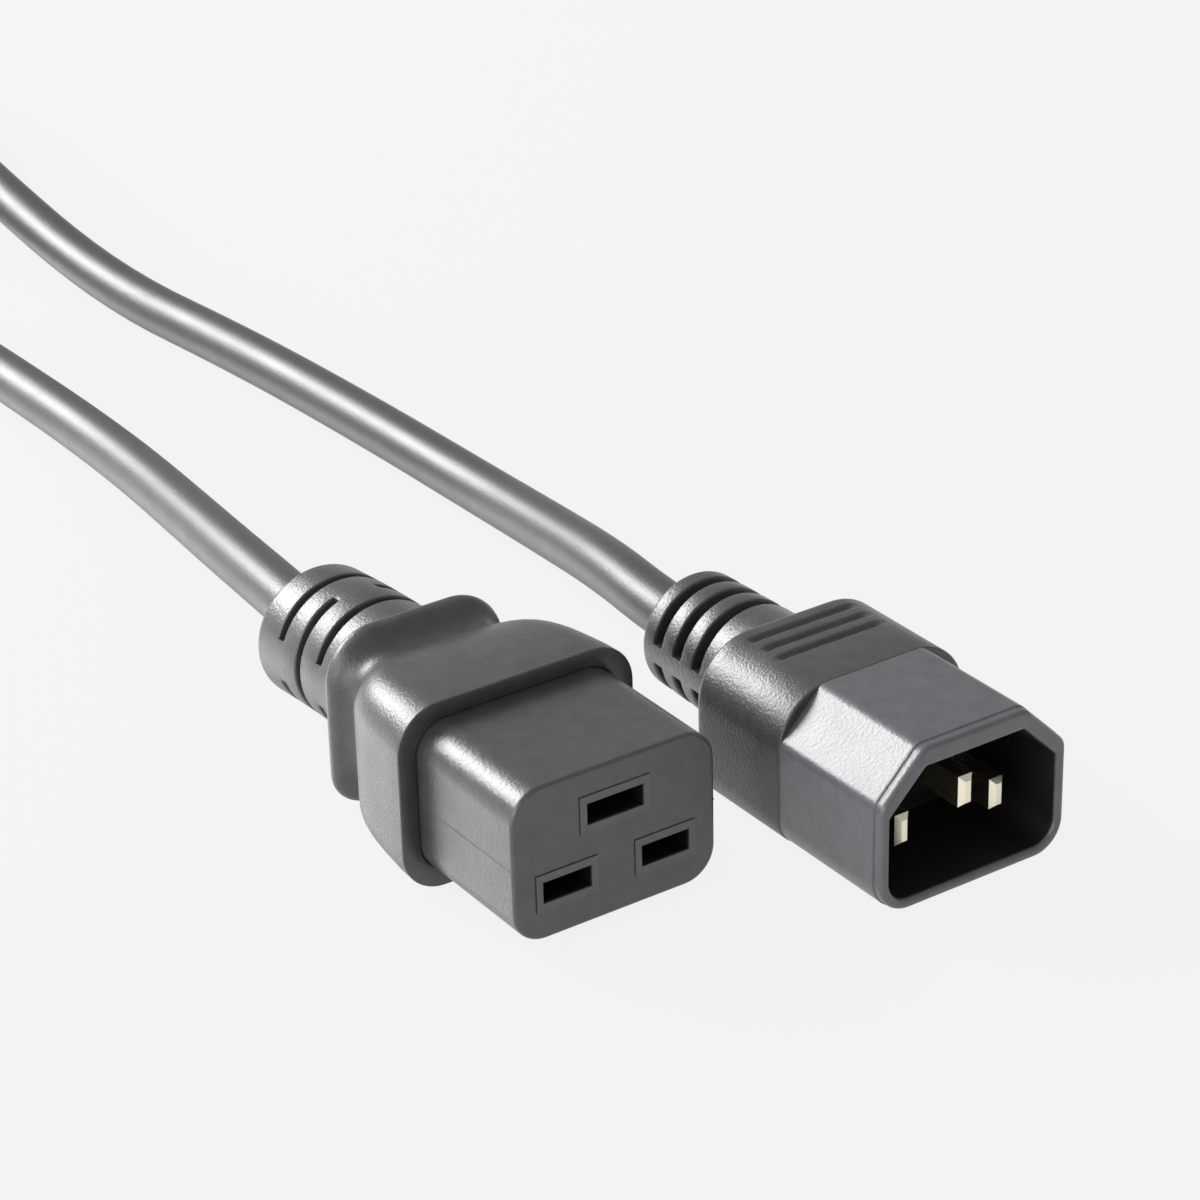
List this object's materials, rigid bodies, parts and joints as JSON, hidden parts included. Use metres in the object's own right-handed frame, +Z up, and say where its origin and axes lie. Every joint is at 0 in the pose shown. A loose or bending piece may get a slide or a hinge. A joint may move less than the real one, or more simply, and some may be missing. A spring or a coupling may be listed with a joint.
{
  "type": "power cord",
  "caption": "Mains power cord with a moulded high-current socket connector, a moulded inlet plug, slotted strain reliefs, and the spare cord wound in a flat coil.",
  "frame": {"origin": "middle of the two connectors' common box, on the table they lie on; the cord and its coil are left out", "axes": "-Y is where both connectors face, +Y runs along them to the cords, +X is to the right seen from the front (socket connector left, plug right), +Z up"},
  "size_m": [0.0972, 0.3679, 0.0241],
  "materials": {
    "overmould": "semi-gloss moulded soft plastic",
    "hard_black": "satin hard plastic",
    "cord_jacket": "smooth semi-gloss jacket",
    "plated_pin": "nickel plate on brass",
    "brass": "bare strip",
    "copper": "bare stranded copper",
    "insulation_line": "smooth",
    "insulation_neutral": "smooth",
    "insulation_earth": "smooth"
  },
  "bodies": {
    "root": {"connector_grip": "overmould", "connector_nose": "hard_black", "connector_contact_carrier": "hard_black", "connector_contact_earth": "brass", "connector_contact_line": "brass", "connector_contact_neutral": "brass", "connector_wire_earth": "insulation_earth", "connector_wire_line": "insulation_line", "connector_wire_neutral": "insulation_neutral", "connector_strands_earth": "copper", "connector_strands_line": "copper", "connector_strands_neutral": "copper", "connector_cord_end": "cord_jacket", "plug_overmould": "overmould", "plug_shroud": "hard_black", "plug_pin_earth": "plated_pin", "plug_pin_line": "plated_pin", "plug_pin_neutral": "plated_pin", "plug_wire_earth": "insulation_earth", "plug_wire_line": "insulation_line", "plug_wire_neutral": "insulation_neutral", "plug_strands_earth": "copper", "plug_strands_line": "copper", "plug_strands_neutral": "copper", "plug_cord_end": "cord_jacket", "cord_connector_side": "cord_jacket", "cord_coil": "cord_jacket", "cord_plug_side": "cord_jacket"}
  },
  "joints": []
}
